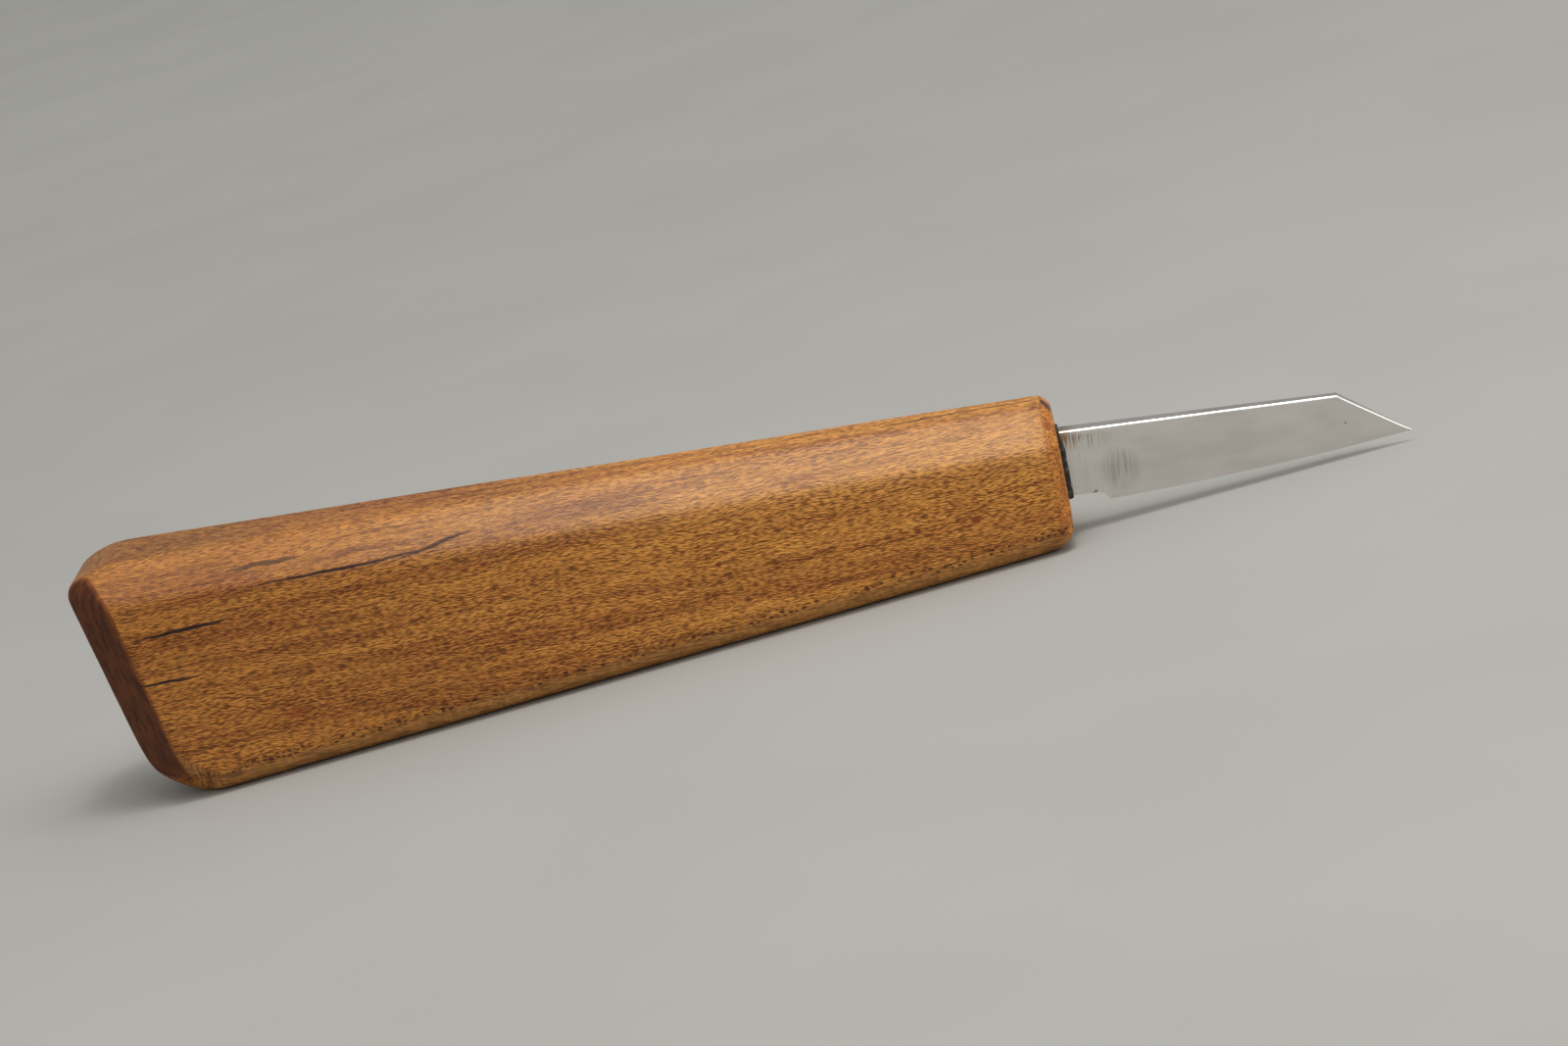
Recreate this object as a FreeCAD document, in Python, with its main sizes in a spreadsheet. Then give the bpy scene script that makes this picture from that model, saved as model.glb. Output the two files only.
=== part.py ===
import FreeCAD, Part

import math
import os

import Sketcher

# Whittling knife: a tapered hardwood handle with a short fixed blade glued into its front end.
#
# Frame: the knife stands on the flat underside of its handle, Z = 0.  +X runs from the butt to the
# blade's tip, +Y across, +Z up towards the spine.  The origin is under the middle of the knife's
# bounding box.  Millimetres and degrees.

DIMENSIONS = {
    # the whole knife, along the underside
    "handle_length": 125.9,     # butt's rearmost point to the foot of the front face
    "blade_reach": 45.1,        # foot of the front face to the tip
    # handle, seen from the side
    "front_height": 18.5,       # top line above the foot of the front face
    "top_slope": 6.65,          # top line falls towards the blade
    "front_lean": 4.9,          # front face leans forward
    "butt_foot": 3.63,          # foot of the end face, forward of the rearmost point
    "butt_lean": 7.3,           # end face leans back
    "brow_leg": 7.6,            # from the top corner to where it starts to fall away
    "brow_end_leg": 4.2,        # the same, down the end face
    "brow_fall": 24.0,          # the falling part turns down from the top line by this much
    "brow_bow": 0.25,           # and bows out by this much
    "brow_round": 0.36,         # bow of the short rounding between it and the end face
    "brow_width": 6.2,          # length of the falling part
    "heel_leg": 7.5,            # from the heel's corner to where its rounding starts
    "front_toe_leg": 2.6,       # the same at the front face's foot
    # handle, seen from above
    "butt_width": 22.4,
    "front_width": 16.6,
    # edges of the handle
    "top_chamfer": 4.6,
    "bottom_chamfer": 2.4,
    "butt_chamfer": 5.2,
    "front_round": 1.8,
    "edge_softness": 2.0,
    # blade, along its own spine from the handle's front face
    "spine_height": 14.08,      # spine above the underside, where it leaves the handle
    "blade_droop": 8.7,         # spine falls towards the tip
    "clip_start": 36.1,
    "tip_along": 45.3,
    "tip_depth": 5.89,
    "heel_along": 5.94,
    "heel_depth": 9.93,
    "edge_bow": 0.45,           # the cutting edge bows down by this much
    "notch_along": 4.2,
    "notch_bow": 0.36,
    "ricasso_depth": 8.8,
    "spine_round": 0.36,
    "edge_thickness": 0.06,
    "grind_angle": 8.0,         # each flat face leans in by this much
    "grind_depth": 11.1,        # depth at which the two faces nearly meet, at the handle
    "grind_rise": 5.9,          # the line where they meet rises towards the tip
    # hidden tang
    "shoulder_depth": 3.5,      # the ricasso runs this far into the handle
    "tang_length": 56.0,
    "tang_thickness": 2.6,
    "tang_top": 1.5,
    "tang_bottom": 7.6,
    "tang_end_top": 2.4,
    "tang_end_bottom": 6.2,
    # mortise and epoxy
    "mortise_width": 4.0,
    "mortise_top": 0.6,
    "mortise_bottom": 9.1,
    "mortise_gap": 0.6,         # round the tang
    "bead_width": 4.8,
    "bead_proud": 0.75,
    "bead_round": 0.5,
}

OVERLAP = 4.0       # how far a cut or a blank runs past the faces that it makes
HANDLE_EDGE = 60.0  # only the handle's lengthwise edges are longer than this
BLADE_EDGE = 30.0   # only the spine's edges and the cutting edge are longer than this
SKIN = 1.0          # an edge within this height of a flat face belongs to the face
X_AXIS = FreeCAD.Vector(1, 0, 0)
Y_AXIS = FreeCAD.Vector(0, 1, 0)

doc = FreeCAD.newDocument("whittling_knife")
sheet = doc.addObject("Spreadsheet::Sheet", "dims")
for row, (name, size) in enumerate(DIMENSIONS.items(), start=1):
    sheet.set(f"A{row}", name)
    sheet.set(f"B{row}", str(size))
    sheet.setAlias(f"B{row}", name)
doc.recompute()

# expressions that several features share
BUTT_X = "(-(dims.handle_length + dims.blade_reach) / 2)"
FRONT_X = "((dims.handle_length - dims.blade_reach) / 2)"
FOOT_X = f"({BUTT_X} + dims.butt_foot)"
SPINE_X = f"({FRONT_X} + dims.spine_height * tan(dims.front_lean))"
FACE_SKEW = "tan(dims.blade_droop - dims.front_lean)"


def value_of(expression):
    return float(sheet.evalExpression(expression))


def top_at(x):
    """Height of the handle's top line at x."""
    return f"(dims.front_height - tan(dims.top_slope) * (({x}) - {FRONT_X}))"


CORNER_Z = f"({top_at(FOOT_X)} / (1 - tan(dims.top_slope) * tan(dims.butt_lean)))"
CORNER_X = f"({FOOT_X} - {CORNER_Z} * tan(dims.butt_lean))"


def half_width_at(x):
    """Half the handle's width at x."""
    taper = "(dims.butt_width - dims.front_width) / dims.handle_length"
    return f"((dims.front_width + {taper} * ({FRONT_X} - ({x}))) / 2)"


def make_body(name):
    return doc.addObject("PartDesign::Body", name)


def tilt(item, prop, axis, angle):
    """Turn one of an object's placements about an axis by an expression's angle."""
    placement = getattr(item, prop)
    placement.Rotation = FreeCAD.Rotation(axis, 1)
    setattr(item, prop, placement)
    item.setExpression(f"{prop}.Rotation.Angle", angle)


def make_sketch(body, name, role):
    """An empty sketch on one of the body's own origin planes."""
    plane = next(item for item in body.Origin.OriginFeatures if item.Role == role)
    sketch = body.newObject("Sketcher::SketchObject", name)
    sketch.AttachmentSupport = [(plane, "")]
    sketch.MapMode = "FlatFace"
    return sketch


def pin(sketch, curve, vertex, corner):
    """Hold a vertex of the sketch at a pair of expressions."""
    for axis, expression in zip("XY", corner):
        size = value_of(expression)
        index = sketch.addConstraint(
            Sketcher.Constraint(f"Distance{axis}", -1, 1, curve, vertex, size)
        )
        name = f"{axis.lower()}_{curve}_{vertex}"
        sketch.renameConstraint(index, name)
        sketch.setExpression(f"Constraints.{name}", expression)


def bend(sketch, curve, start, end, bow):
    """Give an arc the radius by which it stands bow off the chord between two corners."""
    chord_squared = f"(({end[0]}) - ({start[0]}))^2 + (({end[1]}) - ({start[1]}))^2"
    radius = f"({chord_squared}) / (8 * abs({bow})) + abs({bow}) / 2"
    index = sketch.addConstraint(Sketcher.Constraint("Radius", curve, value_of(radius)))
    name = f"bend_{curve}"
    sketch.renameConstraint(index, name)
    sketch.setExpression(f"Constraints.{name}", radius)


def draw_side(sketch, start, end, bow):
    """One side of a loop: a straight line, or an arc that bows out to the right of the way.

    Returns the curve and its vertices at the start and at the end.
    """
    here = FreeCAD.Vector(value_of(start[0]), value_of(start[1]), 0)
    there = FreeCAD.Vector(value_of(end[0]), value_of(end[1]), 0)
    if bow is None:
        return sketch.addGeometry(Part.LineSegment(here, there)), 1, 2
    way = there - here
    aside = FreeCAD.Vector(way.y, -way.x, 0).normalize()
    middle = (here + there) / 2 + aside * value_of(bow)
    curve = sketch.addGeometry(Part.Arc(here, middle, there))
    bend(sketch, curve, start, end, bow)
    forward = sketch.getPoint(curve, 1).distanceToPoint(here) < 1e-6
    return (curve, 1, 2) if forward else (curve, 2, 1)


def draw_loop(sketch, corners, bows=None):
    """Close a loop through the corners, each a pair of expressions.

    bows maps a corner's number to the expression by which the side that starts there bows out.
    """
    bows = bows or {}
    nexts = corners[1:] + corners[:1]
    sides = [
        draw_side(sketch, start, end, bows.get(number))
        for number, (start, end) in enumerate(zip(corners, nexts))
    ]
    for number, (curve, first, last) in enumerate(sides):
        follower, its_first, _ = sides[(number + 1) % len(sides)]
        sketch.addConstraint(
            Sketcher.Constraint("Coincident", curve, last, follower, its_first)
        )
        pin(sketch, curve, first, corners[number])


def rounding_bow(leg, turn):
    """How far a rounding stands off its chord, from its leg and the angle that it turns by."""
    return f"({leg} * (1 - cos(({turn}) / 2)) / tan(({turn}) / 2))"


def pad(body, name, sketch, length):
    feature = body.newObject("PartDesign::Pad", name)
    feature.Profile = sketch
    feature.Midplane = True
    feature.setExpression("Length", length)
    return feature


def cut_through(body, name, sketch):
    """Cut the sketch right through the body, both ways, and make sure that it took something."""
    doc.recompute()
    before = body.Shape.Volume
    feature = body.newObject("PartDesign::Pocket", name)
    feature.Profile = sketch
    feature.Midplane = True
    feature.Type = "ThroughAll"
    doc.recompute()
    if body.Shape.Volume > before - 1:
        raise RuntimeError(f"{name} cut nothing")
    return feature


def place_on_front_face(body, angle):
    """Put a body's origin where the spine leaves the handle, nose down by the angle."""
    tilt(body, "Placement", Y_AXIS, angle)
    body.setExpression("Placement.Base.x", SPINE_X)
    body.setExpression("Placement.Base.z", "dims.spine_height")


def long_edges(feature, shortest, low=-math.inf, high=math.inf):
    """Names of a feature's edges over a length whose middles lie between two heights."""
    return [
        f"Edge{number}"
        for number, edge in enumerate(feature.Shape.Edges, start=1)
        if edge.Length > shortest and low < edge.CenterOfMass.z < high
    ]


def dress(body, kind, name, edges, size):
    """Chamfer or fillet edges of the body as it stands."""
    feature = body.newObject(f"PartDesign::{kind}", name)
    feature.Base = (feature.BaseFeature, edges)
    feature.setExpression("Size" if kind == "Chamfer" else "Radius", size)
    doc.recompute()
    return feature


def make_tapered_bar(body):
    """The planed blank, longer than the handle at both ends, with its lengthwise chamfers."""
    behind, ahead = f"({BUTT_X} - {OVERLAP})", f"({FRONT_X} + {OVERLAP})"
    side = make_sketch(body, "side_taper", "XZ_Plane")
    draw_loop(side, [(behind, "0"), (ahead, "0"), (ahead, top_at(ahead)), (behind, top_at(behind))])
    pad(body, "bar", side, f"dims.butt_width + {OVERLAP}")
    plan = make_sketch(body, "plan_taper", "XY_Plane")
    outer = f"(dims.butt_width / 2 + {OVERLAP})"
    for sign in ("", "-"):
        corners = [
            (behind, f"{sign}{half_width_at(behind)}"),
            (ahead, f"{sign}{half_width_at(ahead)}"),
            (ahead, f"{sign}{outer}"),
            (behind, f"{sign}{outer}"),
        ]
        draw_loop(plan, corners)
    bar = cut_through(body, "tapered_sides", plan)
    middle = value_of("dims.front_height / 2")
    top_edges = long_edges(bar, HANDLE_EDGE, low=middle)
    top = dress(body, "Chamfer", "top_chamfers", top_edges, "dims.top_chamfer")
    under_edges = long_edges(top, HANDLE_EDGE, high=middle)
    dress(body, "Chamfer", "under_chamfers", under_edges, "dims.bottom_chamfer")


def brow_points():
    """Where the brow leaves the top line, turns over, and meets the end face."""
    fall = "(dims.brow_fall - dims.top_slope)"
    start_x = f"{CORNER_X} + dims.brow_leg * cos(dims.top_slope)"
    start_z = f"{CORNER_Z} - dims.brow_leg * sin(dims.top_slope)"
    middle_x = f"{start_x} - dims.brow_width * cos({fall})"
    middle_z = f"{start_z} - dims.brow_width * sin({fall})"
    end_x = f"{CORNER_X} + dims.brow_end_leg * sin(dims.butt_lean)"
    end_z = f"{CORNER_Z} - dims.brow_end_leg * cos(dims.butt_lean)"
    return (start_x, start_z), (middle_x, middle_z), (end_x, end_z)


def trim_butt(body):
    """Saw the slanted end, and round its brow at the top and its heel."""
    sketch = make_sketch(body, "butt_outline", "XZ_Plane")
    brow_start, brow_middle, brow_end = brow_points()
    heel_start = (
        f"{FOOT_X} - dims.heel_leg * sin(dims.butt_lean)",
        "dims.heel_leg * cos(dims.butt_lean)",
    )
    heel_end = (f"{FOOT_X} + dims.heel_leg", "0")
    below, above = f"-{OVERLAP}", f"{CORNER_Z} + {OVERLAP}"
    behind = f"{BUTT_X} - 2 * {OVERLAP}"
    corners = [brow_start, brow_middle, brow_end, heel_start, heel_end]
    corners += [(heel_end[0], below), (behind, below), (behind, above), (brow_start[0], above)]
    bows = {
        0: "dims.brow_bow",
        1: "dims.brow_round",
        3: rounding_bow("dims.heel_leg", "90 - dims.butt_lean"),
    }
    draw_loop(sketch, corners, bows)
    cut_through(body, "butt_cut", sketch)


def trim_front(body):
    """Saw the leaning front face and round its foot."""
    sketch = make_sketch(body, "front_outline", "XZ_Plane")
    toe_start = (f"{FRONT_X} - dims.front_toe_leg", "0")
    toe_end = (
        f"{FRONT_X} + dims.front_toe_leg * sin(dims.front_lean)",
        "dims.front_toe_leg * cos(dims.front_lean)",
    )
    above = f"(dims.front_height + {OVERLAP})"
    brow = (f"{FRONT_X} + {above} * tan(dims.front_lean)", above)
    below, ahead = f"-{OVERLAP}", f"{FRONT_X} + 3 * {OVERLAP}"
    corners = [toe_start, toe_end, brow, (ahead, above), (ahead, below), (toe_start[0], below)]
    bows = {0: rounding_bow("dims.front_toe_leg", "90 - dims.front_lean")}
    draw_loop(sketch, corners, bows)
    cut_through(body, "front_cut", sketch)


def chamfer_sides(body, name, foot, angle):
    """Chamfer both sides of an end at 45 degrees.

    foot is a point (x, z) on the end's outline, and angle turns X about Y to point into the wood.
    """
    sketch = make_sketch(body, name + "_outline", "XY_Plane")
    tilt(sketch, "AttachmentOffset", Y_AXIS, angle)
    sketch.setExpression("AttachmentOffset.Base.x", foot[0])
    sketch.setExpression("AttachmentOffset.Base.z", foot[1])
    half = half_width_at(FOOT_X)
    for side in ("", "-"):
        corners = [
            (f"-{OVERLAP}", f"{side}({half} - dims.butt_chamfer - {OVERLAP})"),
            (f"dims.butt_chamfer + {OVERLAP}", f"{side}({half} + {OVERLAP})"),
            (f"-{OVERLAP}", f"{side}({half} + {OVERLAP})"),
        ]
        draw_loop(sketch, corners)
    cut_through(body, name, sketch)


def chamfer_butt(body):
    """Carry the chamfers round the brow, down the end face and round the heel."""
    chamfer_sides(body, "end_chamfers", (FOOT_X, "0"), "-dims.butt_lean")
    _, middle, end = brow_points()
    brow = (f"({middle[0]} + {end[0]}) / 2", f"({middle[1]} + {end[1]}) / 2")
    turn = "(dims.butt_lean - dims.top_slope + dims.brow_fall)"
    chamfer_sides(body, "brow_chamfers", brow, f"45 - {turn} / 2")
    inward = "(45 + dims.butt_lean / 2)"
    depth = "(dims.heel_leg * tan((90 - dims.butt_lean) / 4))"
    heel = (f"{FOOT_X} + {depth} * cos({inward})", f"{depth} * sin({inward})")
    chamfer_sides(body, "heel_chamfers", heel, f"-{inward}")


def round_front(body):
    """Ease the rim of the front face, apart from its rounded foot."""
    doc.recompute()
    faces = [face for face in body.Shape.Faces if face.CenterOfMass.x > value_of(FRONT_X)]
    front = max(faces, key=lambda face: face.normalAt(0, 0).x)
    names = [
        f"Edge{number}"
        for number, edge in enumerate(body.Shape.Edges, start=1)
        if any(edge.isSame(rim) for rim in front.Edges)
        and edge.CenterOfMass.z > value_of("2 * dims.bottom_chamfer")
    ]
    dress(body, "Fillet", "front_round", names, "dims.front_round")


def soften_edges(body):
    """Round the lengthwise edges above the underside, which stays flat right to its edges."""
    doc.recompute()
    edges = long_edges(body.Tip, HANDLE_EDGE, low=SKIN)
    dress(body, "Fillet", "softened_edges", edges, "dims.edge_softness")


def make_handle_blank():
    body = make_body("handle_blank")
    make_tapered_bar(body)
    soften_edges(body)
    trim_butt(body)
    trim_front(body)
    chamfer_butt(body)
    round_front(body)
    return body


def grind_wedge(body):
    """The two flat-ground faces: a long wedge, thin end down, whose edge rises towards the tip."""
    sketch = make_sketch(body, "wedge_section", "YZ_Plane")
    tilt(sketch, "AttachmentOffset", X_AXIS, "-dims.grind_rise")
    sketch.setExpression("AttachmentOffset.Base.y", "-dims.grind_depth")
    height = f"(dims.grind_depth + 2 * {OVERLAP})"
    foot = "(dims.edge_thickness / 2)"
    top = f"({foot} + {height} * tan(dims.grind_angle))"
    corners = [(foot, "0"), (top, height), (f"-{top}", height), (f"-{foot}", "0")]
    draw_loop(sketch, corners)
    pad(body, "ground_wedge", sketch, "3 * dims.tip_along")


def blade_outline(body):
    """The blade seen from the side, inside a frame that is ground away."""
    sketch = make_sketch(body, "blade_outline", "XZ_Plane")
    root = "-dims.shoulder_depth"
    corners = [
        (root, "0"),
        ("dims.clip_start", "0"),
        ("dims.tip_along", "-dims.tip_depth"),
        ("dims.heel_along", "-dims.heel_depth"),
        ("dims.notch_along", "-dims.ricasso_depth"),
        (root, "-dims.ricasso_depth"),
    ]
    draw_loop(sketch, corners, {2: "-dims.edge_bow", 3: "dims.notch_bow"})
    reach, depth = "(2 * dims.tip_along)", "(2 * dims.grind_depth)"
    frame = [(f"-{reach}", depth), (reach, depth), (reach, f"-{depth}"), (f"-{reach}", f"-{depth}")]
    draw_loop(sketch, frame)
    return sketch


def ease_spine(body):
    """Round the spine's two edges, for the thumb."""
    doc.recompute()
    edges = long_edges(body.Tip, BLADE_EDGE, low=-SKIN)
    dress(body, "Fillet", "eased_spine", edges, "dims.spine_round")


def make_blade():
    body = make_body("blade")
    place_on_front_face(body, "dims.blade_droop")
    grind_wedge(body)
    cut_through(body, "profile_cut", blade_outline(body))
    ease_spine(body)
    pad(body, "tang", tang_outline(body), "dims.tang_thickness")
    return body


def tang_outline(body):
    sketch = make_sketch(body, "tang_outline", "XZ_Plane")
    end, shoulder = "-dims.tang_length", "-dims.shoulder_depth"
    corners = [
        (end, "-dims.tang_end_top"),
        (end, "-dims.tang_end_bottom"),
        (shoulder, "-dims.tang_bottom"),
        ("0", "-dims.tang_bottom"),
        ("0", "-dims.tang_top"),
        (shoulder, "-dims.tang_top"),
    ]
    draw_loop(sketch, corners)
    return sketch


def make_mortise():
    """The slot in the handle: as deep as the ricasso at its mouth, then narrower for the tang."""
    body = make_body("mortise")
    place_on_front_face(body, "dims.blade_droop")
    sketch = make_sketch(body, "mortise_outline", "XZ_Plane")
    end = "-(dims.tang_length + dims.mortise_gap)"
    step = "-(dims.shoulder_depth + dims.mortise_gap)"
    corners = [
        (f"-dims.mortise_top * {FACE_SKEW}", "dims.mortise_top"),
        (step, "dims.mortise_top"),
        (step, "-dims.tang_top + dims.mortise_gap"),
        (end, "-dims.tang_end_top + dims.mortise_gap"),
        (end, "-dims.tang_end_bottom - dims.mortise_gap"),
        (step, "-dims.tang_bottom - dims.mortise_gap"),
        (step, "-dims.mortise_bottom"),
        (f"dims.mortise_bottom * {FACE_SKEW}", "-dims.mortise_bottom"),
    ]
    draw_loop(sketch, corners)
    pad(body, "slot", sketch, "dims.mortise_width")
    return body


def make_bead_blank():
    """The rounded lip of epoxy on the front face, before the blade is taken out of it."""
    body = make_body("bead_blank")
    place_on_front_face(body, "dims.front_lean")
    sketch = make_sketch(body, "bead_outline", "YZ_Plane")
    half = "dims.bead_width / 2"
    corners = [
        (half, "dims.mortise_top"),
        (f"-{half}", "dims.mortise_top"),
        (f"-{half}", "-dims.mortise_bottom"),
        (half, "-dims.mortise_bottom"),
    ]
    draw_loop(sketch, corners)
    lip = body.newObject("PartDesign::Pad", "lip")
    lip.Profile = sketch
    lip.setExpression("Length", "dims.bead_proud")
    doc.recompute()
    names = [
        f"Edge{number}"
        for number, edge in enumerate(lip.Shape.Edges, start=1)
        if edge.BoundBox.XMin > value_of("dims.bead_proud") - 1e-6
    ]
    rounded = body.newObject("PartDesign::Fillet", "rounded_lip")
    rounded.Base = (lip, names)
    rounded.setExpression("Radius", "dims.bead_round")
    return body


def cut_out(name, base, tool):
    cut = doc.addObject("Part::Cut", name)
    cut.Base = base
    cut.Tool = tool
    return cut


handle_blank = make_handle_blank()
blade = make_blade()
mortise = make_mortise()
bead_blank = make_bead_blank()
sub_parts = {
    "handle": cut_out("handle", handle_blank, mortise),
    "blade": blade,
    "tang_bedding": cut_out("tang_bedding", mortise, blade),
    "epoxy_bead": cut_out("epoxy_bead", bead_blank, blade),
}
doc.recompute()

for item in doc.Objects:
    if {"Invalid", "Error"} & set(item.State):
        raise RuntimeError(f"{item.Name} failed: {item.State}")
os.makedirs("parts", exist_ok=True)
for name, piece in sub_parts.items():
    piece.Label = name
    if piece.Shape.isNull() or not piece.Shape.isValid() or len(piece.Shape.Solids) != 1:
        raise RuntimeError(f"{name} isn't one valid solid")
    piece.Shape.exportStep(f"parts/{name}.step")
    print(name, round(piece.Shape.Volume, 1), piece.Shape.BoundBox)
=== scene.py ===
import math
from types import SimpleNamespace

import bmesh
import bpy
import numpy as np
from mathutils import Matrix, Vector

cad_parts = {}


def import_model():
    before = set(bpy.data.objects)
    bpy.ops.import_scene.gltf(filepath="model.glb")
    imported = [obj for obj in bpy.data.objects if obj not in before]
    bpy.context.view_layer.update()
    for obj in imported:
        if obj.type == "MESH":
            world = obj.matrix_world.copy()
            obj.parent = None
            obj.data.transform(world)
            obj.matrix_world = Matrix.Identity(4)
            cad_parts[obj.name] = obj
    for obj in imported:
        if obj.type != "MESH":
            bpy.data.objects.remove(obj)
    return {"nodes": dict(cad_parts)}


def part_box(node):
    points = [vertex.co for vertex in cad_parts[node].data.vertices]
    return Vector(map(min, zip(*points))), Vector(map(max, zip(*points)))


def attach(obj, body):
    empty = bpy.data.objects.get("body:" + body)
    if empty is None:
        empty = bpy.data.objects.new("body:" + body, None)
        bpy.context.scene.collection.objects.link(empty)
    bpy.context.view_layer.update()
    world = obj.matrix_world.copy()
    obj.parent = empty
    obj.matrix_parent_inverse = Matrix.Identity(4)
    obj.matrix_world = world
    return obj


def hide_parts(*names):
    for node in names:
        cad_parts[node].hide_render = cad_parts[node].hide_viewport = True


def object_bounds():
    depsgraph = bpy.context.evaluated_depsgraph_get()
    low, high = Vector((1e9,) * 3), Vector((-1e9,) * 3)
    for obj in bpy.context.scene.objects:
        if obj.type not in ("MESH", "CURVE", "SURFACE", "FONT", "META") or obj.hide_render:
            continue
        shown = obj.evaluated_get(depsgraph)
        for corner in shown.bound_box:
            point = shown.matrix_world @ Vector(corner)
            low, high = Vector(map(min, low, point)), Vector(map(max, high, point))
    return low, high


# Whittling knife: chamfered hardwood handle, short ground blade, bead of black epoxy.
# Millimetres and degrees in the measurements below, metres in Blender.

MM = 0.001

# ---- shape of the handle, as in the CAD ----
FRONT_X = 40.4                  # foot of the front face
FRONT_HEIGHT = 18.5
FRONT_LEAN = 4.9
TOP_SLOPE = 6.65
END_FOOT_X = -81.87             # foot of the butt's end face
END_LEAN = 7.3
FRONT_HALF_WIDTH = 8.3
WIDENING = 0.02303              # half width gained per millimetre towards the butt
TOP_CHAMFER = 4.6
UNDER_CHAMFER = 2.4
END_CHAMFER = 5.2
RIM = 1.5                       # chamfer round the front face
BROW = (-83.6, 0, 31.35)        # where the brow turns over
BROW_FALL = 24.0
BROW_CUT = (-1.55, 0, -0.9)     # from there to the flat across the brow
BROW_CORNER_CUT = (-1.2, 0, -0.7)
HEEL_LEG, HEEL_FLATS = 7.5, 4
TOE_LEG, TOE_FLATS = 2.6, 3

# ---- how the handle's mesh is worked to those flats ----
HANDLE_GRID = (230, 54, 80)
CROWDING = 0.6                  # how much closer the grid is at both ends
BUTT_INSET, FRONT_INSET = 13, 9     # the rays start this far inside the ends
SHARPNESS = 2.9                 # per millimetre: how tightly the lengthwise edges are rounded
CRISPNESS = 8.0                 # the same for the chamfers at both ends
CRISP_GROUPS = ("end_chamfer", "heel_chamfer", "rim")
SANDED_OFF = 0.03
WAVINESS = 0.6
FLOOR_GAP = 0.01
PAINT_SHARPNESS = 5.0           # how abruptly the colour changes from one flat to the next
BEVEL_PAINT_SHARPNESS = 1.7         # the same for the chamfers, which get a painted sheen and painted shade
END_GRAIN_MARGIN = 0.4          # how far past the chamfers the butt's dark colour goes
HEEL_FADE = (0.5, 5.0, 0.25)    # the dark colour is full above 5 mm, and a quarter at the floor
HEEL_UNDER_SIDE = 0.35
CAST_STEPS, CAST_REACH = 26, 1.6

# ---- the bead of epoxy ----
BEAD_GRID = (8, 26, 60)
BEAD_MARGIN = 0.05
BEAD_DEPTH, BEAD_HALF_WIDTH, BEAD_CORE = 0.85, 2.3, 3.2
BEAD_LIP = 0.72                 # furthest that it stands out
BEAD_THIN, BEAD_SWELL = 0.22, 0.46
BEAD_TURN_HEIGHT, BEAD_TURN_RATE = 12.9, 2.2    # where the lower half's swelling starts
BEAD_SHARPNESS = 9

# ---- shape of the blade, along its spine and down from it ----
SPINE_HEIGHT = 14.08
BLADE_DROOP = 8.7
ROOT = -3.5                     # the ricasso's end, inside the handle
CLIP_START = 36.1
TIP = (45.3, 5.89)
TIP_BLUNTING = 0.02
HEEL = (5.94, 9.93)
EDGE_BOW = 0.45
NOTCH_START = 4.2
NOTCH_RADIUS = 1.9
RICASSO_DEPTH = 8.8
GRIND_DEPTH = 11.1
GRIND_ANGLE = 8.0
GRIND_RISE = 5.9
EDGE_HALF = 0.03                # half thickness where the ground faces meet the fine bevel
SHARP_HALF = 0.008
SPINE_BEVEL = 0.22              # eased edges of the spine
SPINE_BULGE = 0.12
EDGE_BEVEL = 0.30               # height of the fine bevel along the cutting edge
TANG = [(-56.0, 2.4, 6.2), (-3.5, 1.5, 7.6), (-2.0, 1.5, 7.6)]      # along, top, bottom
TANG_HALF = 1.3
TANG_OUTLINE = [                # share of the half thickness, share of the way down
    (-0.7, 0.0), (-1.0, 0.3), (-1.0, 1.0), (-0.7, 1.0),
    (0.7, 1.0), (1.0, 1.0), (1.0, 0.3), (0.7, 0.0),
]
STATIONS = (20, 12, 50, 26)     # sections of the ricasso, notch, edge and clip
EDGE_ANGLE = 28                 # edges of the blade sharper than this are shaded sharp
WELD = 0.000002
TINY = 1e-6

# ---- wood ----
GRAIN_FALL = 4.5                # the grain runs down towards the blade
SWAY, RIPPLE = 2.6, 0.55        # how far the grain wanders, widely and finely
WEAVE_CELL = (1.05, 0.150)
FAR_SIDE_SHIFT = 57.3           # keeps the two sides' dashes from mirroring each other
WOOD_SIZES = {                  # along the grain, across it and up
    "sway": (26, 14, 12),
    "ripple": (2.6, 2.2, 1.6),
    "bands": (60, 5.0, 2.6),
    "lines": (30, 1.4, 0.60),
    "blotch": (15, 8, 6),
    "drift": (1.6, 0.5, 0.14),
    "threads": (2.8, 0.5, 0.13),
    "grit": (0.24, 0.20, 0.10),
    "flecks": (0.85, 0.8, 0.50),
}
PLACE_SIZES = {                 # along the knife, across it and up
    "end_rings": (6.0, 0.7, 2.6),
    "end_pores": (0.5, 0.32, 0.32),
    "rim_pricks": (0.50, 0.36, 0.36),
    "rim_rubbing": (1.5, 1.5, 1.9),
    "fleck_row": (7, 7, 60),
}
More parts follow.
